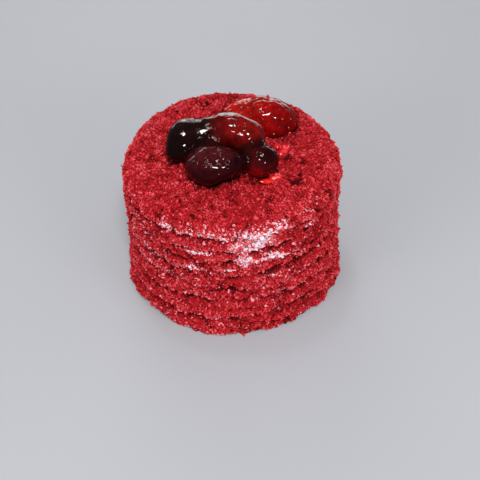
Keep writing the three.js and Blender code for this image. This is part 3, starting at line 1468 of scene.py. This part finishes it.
@dataclass
class CakeBody:
    """The body under its loose crumbs, as rings of corners round the cake."""

    shape: CakeShape
    columns: int = 500
    side_step: float = 0.56
    top_step: float = 1.0
    finish: CoreFinish = CORE_FINISH

    def rows(self) -> Array:
        """Where the rings of corners lie.

        Returns:
            How far along the outline each ring is.
        """
        shape = self.shape
        edge = shape.side_length + shape.edge_length
        low = np.arange(0, edge, self.side_step)
        return np.concatenate([low, np.arange(edge, shape.whole_length - 0.5, self.top_step)])

    def build(self) -> Piece:
        """Builds and dresses the body.

        Returns:
            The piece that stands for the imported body.
        """
        rows = self.rows()
        way = np.repeat(rows, self.columns)
        angle = np.tile(np.arange(self.columns) / self.columns * TURN, len(rows))
        ring = np.arange(self.columns)
        after = (ring + 1) % self.columns
        quad = np.stack([ring, after, self.columns + after, self.columns + ring], 1)
        quads = [quad + low for low in np.arange(len(rows) - 1) * self.columns]
        points, faces = self.close(self.shape.surface(angle, way), np.concatenate(quads))
        piece = mesh_piece("cake_core", points, faces)
        self.mark(piece, points, self.shape.relief(angle, way)[1])
        dress(piece, self.finish.material())
        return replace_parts(piece, "cake_body")

    def close(self, points: Array, quads: Array) -> tuple[Array, Array]:
        """Closes the base and the middle of the top.

        Args:
            points: The corners of all rings.
            quads: The faces between them.

        Returns:
            All corners, and all faces as triangles.
        """
        count = len(points)
        top_ring = count - self.columns
        middles = np.array([[0, 0, 0], points[top_ring:].mean(0)])
        ring = np.arange(self.columns)
        after = (ring + 1) % self.columns
        base = np.stack([np.full(self.columns, count), after, ring], 1)
        crown = np.stack([np.full(self.columns, count + 1), top_ring + ring, top_ring + after], 1)
        return np.concatenate([points, middles]), np.concatenate([halved(quads), base, crown])

    def mark(self, piece: Piece, points: Array, rise: Array) -> None:
        """Stores where cream shows, and the painted shade in hollows, in open joints and at the
        foot, with juice where crumbs are wet.

        Args:
            piece: The body.
            points: Its corners.
            rise: How high each one is among its near neighbours, without the last two corners.
        """
        angle, height = np.arctan2(points[:, 1], points[:, 0]), points[:, 2]
        _, open_joint = self.shape.joints(angle, height)
        give_numbers(piece, "cream", self.shape.cream_share(points, angle, height))
        # Painted contact shadow at the foot, painted shade in hollows and open joints, less where
        # cream is smeared; wet crumbs are darkened by juice.
        foot = smooth_step(1.6, 0.2, height)
        hollow = smooth_step(0, -0.9, np.append(rise, [0, 0])) * 0.85
        painted_joint_shade = smooth_step(0.35, 0.8, open_joint) * smooth_step(*SIDE_END, height)
        bare = 1 - 0.7 * smooth_step(*CREAMED, self.shape.smeared(angle, height))
        shade = np.maximum(np.maximum(painted_joint_shade, hollow) * bare, np.maximum(foot, wetness(points)))
        give_numbers(piece, "shade", shade * 0.95)


# ---- Crumbs ----


class Shade(Enum):
    """The kinds of crumb. Each is one piece. The bright and deep ones carry painted light and shade
    as well as tone, and the dark ones painted shade and juice.
    """

    BRIGHT = "crumbs_bright"
    RED = "crumbs_red"
    DEEP = "crumbs_deep"
    DARK = "crumbs_dark"
    CREAM = "cream_flecks"


# The bright crumbs' pale tones are partly a painted highlight for the sheen of moist crumbs.
CRUMB_FINISHES = {
    Shade.BRIGHT: CrumbFinish("crumb_bright", *tones((224, 98, 106), (208, 74, 82), (194, 54, 62))),
    Shade.RED: CrumbFinish("crumb_red", *tones((212, 64, 72), (195, 46, 54), (175, 31, 38))),
    Shade.DEEP: CrumbFinish("crumb_deep", *tones((176, 36, 42), (156, 24, 30), (132, 14, 18))),
    Shade.DARK: CrumbFinish("crumb_dark", *tones((100, 15, 15), (66, 8, 8), (38, 5, 5))),
    Shade.CREAM: CreamFinish(*tones((226, 216, 228), (222, 152, 164), (218, 112, 120))),
}

OCTAHEDRON = (
    np.array([[1, 0, 0], [-1, 0, 0], [0, 1, 0], [0, -1, 0], [0, 0, 1], [0, 0, -1]], float),
    np.array(
        [[0, 2, 4], [2, 1, 4], [1, 3, 4], [3, 0, 4], [2, 0, 5], [1, 2, 5], [3, 1, 5], [0, 3, 5]]
    ),
)
TONE_GRAINS = (Grain(0.5, 9, 31), Grain(0.6, 2.2, 32))


@dataclass(frozen=True)
class Lumps:
    """One kind of loose crumb: how many are tried, their least and greatest radius, how rare the
    large ones are, and their plain form."""

    count: int
    least: float
    most: float
    rarity: float
    form: tuple[Array, Array]


@dataclass(frozen=True)
class StrayCrumb:
    """A crumb that lies on the strawberry."""

    place: Place
    size: float


@dataclass
class CrumbCoat:
    """All the loose crumbs on the body.

    A place's tone tells how pale its crumb is likely to be, and the mixing is how far chance
    changes that; the tone holds painted light and shade, paler on lumps and deeper in hollows.
    Below the first of the shade limits a crumb is deep, and above the second it is bright. A crumb
    lies no deeper in a berry than the sunk berry says. An open joint is emptied of some crumbs,
    and the dark and the cream ones are given as shares of all; the dark ones are painted shade in
    joints and pits, a few at random, and crumbs wet with juice.
    """

    shape: CakeShape
    kinds: tuple[Lumps, ...] = (
        Lumps(61000, 0.28, 0.64, 2.2, OCTAHEDRON),
        Lumps(4200, 0.5, 1.0, 1.6, ball(1)),
    )
    stray_crumbs: tuple[StrayCrumb, ...] = (
        StrayCrumb((7.9, 27.2, 78.2), 1.2),
        StrayCrumb((9.0, 27.0, 78.1), 0.9),
        StrayCrumb((15.5, 25.6, 79.0), 0.9),
    )
    shade_limits: tuple[float, float] = (0.32, 0.72)
    mixing: float = 0.75
    tone_weight: float = 0.5
    cream_weight: float = 1.1
    top_deepening: float = 0.06
    sunk_berry: float = -0.2
    joint_emptied: float = 0.8
    painted_shade_in_joints: float = 0.8
    painted_shade_in_pits: float = 0.3
    dark_anywhere: float = 0.02
    cream_in_fleck: float = 0.85
    loose_cream: float = 0.008
    cream_top: float = 63
    lowest: float = 0.02
    seed: int = 3

    def spots(self, count: int, random: np.random.Generator) -> tuple[Array, Array]:
        """Spreads places evenly over the surface.

        Args:
            count: How many there are.
            random: Draws how far each is off its even place.

        Returns:
            An angle, and a way along the outline, for each.
        """
        ways = np.linspace(0.3, self.shape.whole_length, 2000)
        area = np.cumsum(self.shape.profile(ways)[0])
        even = (np.arange(count) + random.random(count)) / count
        way = np.interp(even, area / area[-1], ways)
        angle = (np.arange(count) * GOLDEN_ANGLE + random.normal(0, 0.02, count)) % TURN
        return angle, way

    def choose(
        self, points: Array, angle: Array, way: Array, random: np.random.Generator
    ) -> tuple[Array, dict[Shade, Array]]:
        """Decides which places get a crumb, and of which shade.

        Args:
            points: The places.
            angle: Their angles.
            way: How far along the outline they lie.
            random: Draws the shades.

        Returns:
            Which places are kept, and for each shade which places have it.
        """
        count, height = len(points), points[:, 2]
        open_joint = self.shape.joints(angle, height)[1] * smooth_step(*SIDE_END, height)
        rise = self.shape.relief(angle, way)[1]
        cream = self.shape.cream_share(points, angle, height)
        # The lump height in the tone paints light and shade: paler crumbs on lumps, deeper in
        # hollows.
        tone = sum(grain.at(points) for grain in TONE_GRAINS) + rise + self.cream_weight * cream
        drawn = 0.5 + self.mixing * (random.random(count) - 0.5) + self.tone_weight * tone
        drawn = drawn - self.top_deepening * smooth_step(62, 66, height)
        emptied = self.joint_emptied * smooth_step(0.5, 0.95, open_joint)
        keep = (nearest_berry(points) > self.sunk_berry) & (random.random(count) > emptied)
        # Dark crumbs in pits and open joints are painted shade; the wetness darkens others with
        # juice.
        pit = self.dark_anywhere + self.painted_shade_in_pits * smooth_step(-0.4, -1, tone)
        hollow = np.maximum(smooth_step(0.25, 0.6, open_joint) * self.painted_shade_in_joints, pit)
        bare = 1 - 0.8 * smooth_step(*CREAMED, self.shape.smeared(angle, height))
        dark = random.random(count) < np.maximum(wetness(points), hollow * bare)
        fleck = self.cream_in_fleck * self.shape.flecked(points, cream)
        fleck = fleck + self.loose_cream * (height < self.cream_top)
        pale = (random.random(count) < fleck) & ~dark
        rest = ~dark & ~pale
        deep, bright = drawn < self.shade_limits[0], drawn >= self.shade_limits[1]
        return keep, {
            Shade.DARK: dark,
            Shade.CREAM: pale,
            Shade.DEEP: rest & deep,
            Shade.RED: rest & ~deep & ~bright,
            Shade.BRIGHT: rest & bright,
        }

    def lumps(
        self,
        centres: Array,
        sizes: Array,
        form: tuple[Array, Array],
        random: np.random.Generator,
    ) -> tuple[Array, Array]:
        """Makes one uneven lump at each place.

        Args:
            centres: The places.
            sizes: The radius of each lump.
            form: The corners and faces of a plain lump.
            random: Draws the unevenness and the turn of each.

        Returns:
            The corners and faces of all lumps.
        """
        corners, faces = form
        count, sides = len(centres), len(corners)
        uneven = random.uniform(0.55, 1.3, (count, sides, 1))
        stretch = random.uniform(0.5, 1.45, (count, 1, 3))
        w, x, y, z = units(random.normal(size=(count, 4))).T
        turned = np.array(
            [
                [1 - 2 * (y * y + z * z), 2 * (x * y - z * w), 2 * (x * z + y * w)],
                [2 * (x * y + z * w), 1 - 2 * (x * x + z * z), 2 * (y * z - x * w)],
                [2 * (x * z - y * w), 2 * (y * z + x * w), 1 - 2 * (x * x + y * y)],
            ]
        )
        local = corners[None] * uneven * stretch * sizes[:, None, None]
        points = np.einsum("ijn,nkj->nki", turned, local) + centres[:, None]
        points[..., 2] = np.maximum(points[..., 2], self.lowest)
        numbers = faces[None] + (np.arange(count) * sides)[:, None, None]
        return points.reshape(-1, 3), numbers.reshape(-1, 3)

    def scatter(self) -> dict[Shade, list[tuple[Array, Array]]]:
        """Scatters all the lumps.

        Returns:
            The corners and faces of some groups of lumps for each shade.
        """
        random = np.random.default_rng(self.seed)
        made: dict[Shade, list[tuple[Array, Array]]] = {shade: [] for shade in Shade}
        for kind in self.kinds:
            angle, way = self.spots(kind.count, random)
            skin = self.shape.surface(angle, way)
            facing = self.shape.normals(angle, way)
            large = random.random(kind.count) ** kind.rarity
            sizes = kind.least + (kind.most - kind.least) * large
            keep, shades = self.choose(skin, angle, way, random)
            lift = sizes * random.uniform(-0.15, 0.45, kind.count)
            centres = skin + facing * lift[:, None]
            for shade, chosen in shades.items():
                picked = keep & chosen
                made[shade].append(self.lumps(centres[picked], sizes[picked], kind.form, random))
        places = np.array([crumb.place for crumb in self.stray_crumbs])
        sizes = np.array([crumb.size for crumb in self.stray_crumbs])
        made[Shade.RED].append(self.lumps(places, sizes, self.kinds[-1].form, random))
        return made

    def build(self) -> list[Piece]:
        """Builds and dresses the crumbs.

        Returns:
            One piece for each shade.
        """
        pieces = []
        for shade, parts in self.scatter().items():
            points, faces = grouped(parts)
            piece = mesh_piece(shade.value, points, faces)
            if shade is Shade.CREAM:
                angle, height = np.arctan2(points[:, 1], points[:, 0]), points[:, 2]
                thick = smooth_step(*THICK, self.shape.smeared(angle, height))
                give_numbers(piece, "thick", thick)
            pieces.append(dress(piece, CRUMB_FINISHES[shade].material()))
        return pieces


# ---- Berries and glaze on top ----


GROOVES_SHOWN = Grain(1, 0.8, 62)
DROP_UNEVENNESS = Grain(0.6, 1.3, 71)


@dataclass
class BerryHeap:
    """The berries, each with its own skin, and the strawberry's seeds."""

    shape: CakeShape
    divisions: int = 6
    room: float = 0.3
    unevenness: float = 0.22
    seed_sizes: Place = (0.6, 0.36, 0.26)
    seed_sunk: float = 0.004
    seed_room: float = 0.3
    lowest_seed: float = 1.5
    seed_finish: SeedFinish = SeedFinish(*tones((226, 158, 74), (132, 24, 12)))

    def spots(self, berry: Berry) -> Array:
        """The directions of a berry's seeds or drupelets, a little off an even spread.

        Args:
            berry: The berry.

        Returns:
            Unit vectors, one a row.
        """
        random = np.random.default_rng(berry.parts)
        off = self.unevenness / math.sqrt(berry.parts)
        return units(spread_ways(berry.parts) + random.normal(0, off, (berry.parts, 3)))

    def relief(self, berry: Berry, ways: Array) -> Array:
        """The share of its size that a berry reaches, less in seeds' pits and between drupelets.

        Args:
            berry: The berry.
            ways: Directions, one a row.

        Returns:
            Shares of about 1.
        """
        near = np.sort(np.arccos(np.clip(ways @ self.spots(berry).T, -1, 1)), axis=1)
        width = math.sqrt(4 / berry.parts)
        if berry.skin is Skin.SEEDS:
            return 1 - berry.depth * bell(near[:, 0], 0, width * 0.42)
        groove = bell(near[:, 1] - near[:, 0], 0, width * 0.8)
        return 1 - berry.depth * groove * smooth_step(-0.05, 0.6, GROOVES_SHOWN.at(ways))

    def build_berry(self, berry: Berry, laid: Sequence[Berry]) -> Piece:
        """Builds and dresses one berry.

        Args:
            berry: The berry.
            laid: The berries that it lies against.

        Returns:
            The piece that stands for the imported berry.
        """
        ways, faces = ball(self.divisions)
        points = berry.flattened(berry.place(ways, self.relief(berry, ways)))
        for other in laid:
            points = other.push_out(points, self.room)
        points[:, 2] = np.maximum(points[:, 2], self.shape.seat)
        piece = mesh_piece(berry.node + "_skin", points, faces)
        give_colours(piece, "hue_and_painted_light", berry_hue_and_painted_light(points))
        dress(piece, berry.finish.material())
        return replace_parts(piece, berry.node)

    def build_seeds(self, berry: Berry) -> Piece:
        """Builds and dresses the seeds of a strawberry.

        Args:
            berry: The strawberry.

        Returns:
            One piece with all the seeds that lie clear of the crumbs and other berries.
        """
        ways = self.spots(berry)
        middles = berry.place(ways, self.relief(berry, ways) - self.seed_sunk)
        others = [other.depth_at(middles) for other in BERRIES if other is not berry]
        shown = np.min(others, axis=0) > self.seed_room
        shown &= middles[:, 2] > self.shape.height + self.lowest_seed
        form, faces = ball(2)
        length = berry.axes()[:, 0]
        seeds = []
        for middle, way in zip(middles[shown], ways[shown]):
            out = unit(berry.place(way[None], 1.05)[0] - berry.place(way[None])[0])
            along = unit(length - out * (length @ out))
            own = np.stack([along, np.cross(out, along), out], 1)
            seeds.append(((form * np.array(self.seed_sizes)) @ own.T + middle, faces))
        piece = mesh_piece(berry.node + "_seeds", *grouped(seeds))
        return dress(piece, self.seed_finish.material())

    def build(self) -> list[Piece]:
        """Builds and dresses all the berries."""
        pieces = [self.build_berry(berry, BERRIES[:at]) for at, berry in enumerate(BERRIES)]
        return pieces + [self.build_seeds(berry) for berry in BERRIES if berry.skin is Skin.SEEDS]


@dataclass(frozen=True)
class Blob:
    """A blob of glaze: its middle, its half-sizes, how far it blends with others, and how far it
    is drawn out to both sides."""

    middle: Place
    half: Place
    merge: float = 5.0
    drawn: Place = (0, 0, 0)

    def depth_at(self, points: Array) -> Array:
        """About how far points lie outside the blob.

        Args:
            points: Places in the cake's frame.

        Returns:
            Millimetres, negative inside.
        """
        local, drawn = points - np.array(self.middle), np.array(self.drawn)
        along = np.clip(local @ drawn / max(drawn @ drawn, TINY), -1, 1)
        return outside(local - along[:, None] * drawn, np.array(self.half))

    def flattened(self, points: Array, way: Place, depth: float) -> Array:
        """Lets the glaze lie flat over the blob on one side.

        Args:
            points: Places in the glaze.
            way: The way out from the blob to that side.
            depth: How deep the flat lies below the crest.

        Returns:
            The moved places.
        """
        reach, share = 0.8, 0.9
        out = unit(way)
        over = (points - np.array(self.middle)) @ out - (self.half[1] - depth)
        near = (over > 0) & (self.depth_at(points) < reach)
        return np.where(near[:, None], points - share * over[:, None] * out, points)


def fused(first: Array, second: Array, width: float) -> Array:
    """Joins two levels with a rounded fillet, where they are less than a width apart."""
    share = np.clip(0.5 + 0.5 * (second - first) / width, 0, 1)
    return second + (first - second) * share - width * share * (1 - share)


RIDGE = Blob((-13.6, -1.85, 80.35), (2.2, 2.2, 2.2), 1.5, (2.7, 0.96, 0.79))
BRIDGES = (
    Blob((-12.0, 2.4, 76.6), (9.5, 5.4, 4.6)),
    RIDGE,
    Blob((-11.5, -5.5, 72.5), (5, 4, 4.5)),
    Blob((6.8, -9.5, 72.0), (4.8, 4.6, 4.2)),
)


@dataclass(frozen=True)
class Drops:
    """Loose drops of glaze on the crumbs, which are one piece."""

    name: str
    blobs: tuple[Blob, ...]
    finish: GlazeFinish


JELLY = Drops(
    "glaze_jelly",
    (
        Blob((19.6, 1.8, 68.6), (2.3, 2.0, 1.5)),
        Blob((22.6, -0.4, 68.5), (2.0, 1.8, 1.3)),
        Blob((20.4, -3.0, 68.6), (2.1, 1.9, 1.2)),
        Blob((23.7, 2.5, 68.5), (1.3, 1.3, 1.1)),
    ),
    GlazeFinish("glaze_jelly", *tones((180, 12, 24), (228, 46, 58)), 0.7),
)
SMEAR = Drops(
    "glaze_smear",
    (Blob((14.2, -21.4, 68.2), (3.2, 1.5, 0.9)), Blob((18.2, -18.4, 68.4), (3.0, 2.0, 1.1))),
    GlazeFinish("glaze_smear", *tones((178, 14, 14), (216, 40, 26)), 0.6),
)


@dataclass
class Glaze:
    """The glaze that has run between the berries and round their feet, and its loose drops.

    The merges are how far its parts blend. It stands out by the foot round the berries' feet,
    and lies by the inset within the berries, so that their own skins show.
    """

    shape: CakeShape
    step: float = 0.55
    merge: float = 5.0
    strawberry_merge: float = 1.6
    drop_merge: float = 1.2
    foot: float = 0.6
    foot_merge: float = 2.0
    crumb_rise: float = 0.5
    inset: float = 0.3
    pool_low: Place = (-36, -32, 64.5)
    pool_high: Place = (34, 40, 89)
    drop_room: float = 5
    ridge_way: Place = (0.02, -0.67, 0.742)
    ridge_depth: float = 0.55
    pool_finish: BerryFinish = BerryFinish("glaze_pool", 5, 0.08, 0.4)

    def skin(
        self, low: Array, high: Array, level_at: Callable[[Array], Array]
    ) -> tuple[Array, Array]:
        """The skin of a level within a box.

        Args:
            low: The lowest corner of the box.
            high: Its highest corner.
            level_at: Gives the level at each place.

        Returns:
            Corners and triangles.
        """
        counts = np.ceil((high - low) / self.step).astype(int)
        ranges = [low[k] + np.arange(counts[k]) * self.step for k in range(3)]
        points = np.stack(np.meshgrid(*ranges, indexing="ij"), -1).reshape(-1, 3)
        corners, quads = level_skin(level_at(points).reshape(tuple(counts)), low, self.step)
        return corners, halved(quads)

    def pool_level(self, points: Array) -> Array:
        """About how far places lie outside the glaze that holds the berries together.

        Args:
            points: Places in the cake's frame.

        Returns:
            Millimetres, negative inside.
        """
        strawberry, second, *others = BERRIES
        level = second.depth_at(points)
        for berry in others:
            level = fused(level, berry.depth_at(points), self.merge)
        for blob in BRIDGES:
            level = fused(level, blob.depth_at(points), blob.merge)
        level = fused(level, strawberry.depth_at(points), self.strawberry_merge)
        crumbs = points[:, 2] - (self.shape.height + self.crumb_rise)
        footed = fused(level, np.maximum(crumbs, level - self.foot), self.foot_merge)
        seat = self.shape.seat - points[:, 2]
        return np.maximum(np.minimum(level, footed) + self.inset, seat)

    def build_pool(self) -> Piece:
        """Builds and dresses the glaze between and round the berries.

        Returns:
            The piece.
        """
        box = np.array(self.pool_low), np.array(self.pool_high)
        corners, faces = self.skin(*box, self.pool_level)
        for berry in BERRIES:
            corners = berry.flattened(corners)
        corners = RIDGE.flattened(corners, self.ridge_way, self.ridge_depth)
        piece = mesh_piece("glaze_pool", corners, faces)
        give_colours(piece, "hue_and_painted_light", berry_hue_and_painted_light(corners))
        return dress(piece, self.pool_finish.material())

    def build_drops(self, drops: Drops) -> Piece:
        """Builds and dresses drops of glaze that lie on the crumbs.

        Args:
            drops: The drops.

        Returns:
            The piece.
        """

        def level_at(points: Array) -> Array:
            """About how far places lie outside the drops.

            Args:
                points: Places in the cake's frame.

            Returns:
                Millimetres, negative inside.
            """
            first, *others = drops.blobs
            level = first.depth_at(points)
            for blob in others:
                level = fused(level, blob.depth_at(points), self.drop_merge)
            return level + DROP_UNEVENNESS.at(points)

        middles = np.array([blob.middle for blob in drops.blobs])
        low, high = middles.min(0) - self.drop_room, middles.max(0) + self.drop_room
        piece = mesh_piece(drops.name, *self.skin(low, high, level_at))
        return dress(piece, drops.finish.material())

    def build(self) -> list[Piece]:
        """Builds and dresses all the glaze."""
        return [self.build_pool(), *(self.build_drops(drops) for drops in (JELLY, SMEAR))]


# ---- Studio ----


@dataclass(frozen=True)
class Lamp:
    """A soft lamp, or a card that is only seen mirrored, which looks at the cake.

    It is round, or oval if a height is given, and its sizes and its place are in metres.
    """

    name: str
    place: Place
    width: float
    power: float
    colour: Colour = (1.0, 1.0, 1.0)
    mirrored: bool = False
    tall: float = 0
    lights: bool = True


@dataclass
class Studio:
    """The floor, the lights and the camera. Its places are in metres."""

    floor_finish: FloorFinish = FloorFinish(from_screen(166, 168, 174))
    floor_reach: float = 8000
    lamps: tuple[Lamp, ...] = (
        Lamp("lamp_main", (0.05, -0.62, 1.0), 0.23, 8, (1.0, 0.98, 0.95), mirrored=True),
        Lamp("lamp_high", (-0.15, 0.25, 1.2), 0.1, 1, (1.0, 0.98, 0.96), mirrored=True),
        Lamp("card_behind", (0, 1.4, 0.07), 2.2, 8, mirrored=True, tall=0.6, lights=False),
        Lamp("fill_left", (-1.0, -0.95, 0.35), 0.9, 11, (0.98, 0.99, 1.0)),
        Lamp("fill_right", (1.0, -0.95, 0.35), 0.9, 10.5, (0.98, 0.99, 1.0)),
        Lamp("fill_behind", (-0.3, 1.3, 0.6), 0.9, 6, (0.98, 0.99, 1.0)),
    )
    aim: Place = (0, 0, 0.05)
    daylight: float = 1.45
    daylight_spread: float = 150
    sky: Colour = (0.9, 0.93, 1.0)
    sky_strength: float = 0.1
    camera_place: Place = (0.00265, -0.3908, 0.3942)
    camera_tilt: float = 45.6
    lens: float = 84.6

    def build_floor(self) -> None:
        """Builds the floor, which no surface mirrors."""
        corners = self.floor_reach * np.array([[-1, -1, 0], [1, -1, 0], [1, 1, 0], [-1, 1, 0]])
        floor = mesh_piece("floor", corners, np.array([[0, 1, 2, 3]]), smooth=False)
        floor.data.materials.append(self.floor_finish.material())
        floor.visible_glossy = False

    def build_lamp(self, lamp: Lamp) -> None:
        """Builds one lamp.

        Args:
            lamp: The lamp.
        """
        light = bpy.data.lights.new(lamp.name, "AREA")
        light.shape = "ELLIPSE"
        light.size = lamp.width
        light.size_y = lamp.tall or lamp.width
        light.energy = lamp.power
        light.color = lamp.colour
        holder = placed(lamp.name, light)
        holder.visible_glossy = lamp.mirrored
        holder.visible_diffuse = lamp.lights
        holder.location = lamp.place
        ahead = Vector(self.aim) - Vector(lamp.place)
        holder.rotation_euler = ahead.to_track_quat("-Z", "Y").to_euler()

    def build_sky(self) -> None:
        """Builds the soft daylight from above and the light from all sides."""
        daylight = bpy.data.lights.new("daylight", "SUN")
        daylight.energy = self.daylight
        daylight.angle = math.radians(self.daylight_spread)
        placed("daylight", daylight).visible_glossy = False
        world = bpy.data.worlds.new("studio")
        world.use_nodes = True
        background = world.node_tree.nodes["Background"]
        background.inputs["Color"].default_value = (*self.sky, 1)
        background.inputs["Strength"].default_value = self.sky_strength
        bpy.context.scene.world = world

    def build(self) -> None:
        """Builds the floor, the lights and the camera."""
        self.build_floor()
        for lamp in self.lamps:
            self.build_lamp(lamp)
        self.build_sky()
        scene = bpy.context.scene
        scene.view_settings.view_transform = "Standard"
        camera = placed("camera", bpy.data.cameras.new("camera"))
        camera.data.lens = self.lens
        camera.location = self.camera_place
        camera.rotation_euler = (math.radians(self.camera_tilt), 0, 0)
        scene.camera = camera


def main() -> None:
    """Builds the cake, its toppings and the studio, in order."""
    logging.basicConfig(level=logging.INFO, format="%(name)s: %(message)s")
    shape = CakeShape()
    Studio().build()
    CakeBody(shape).build()
    CrumbCoat(shape).build()
    BerryHeap(shape).build()
    Glaze(shape).build()


if __name__ == "__main__":
    main()
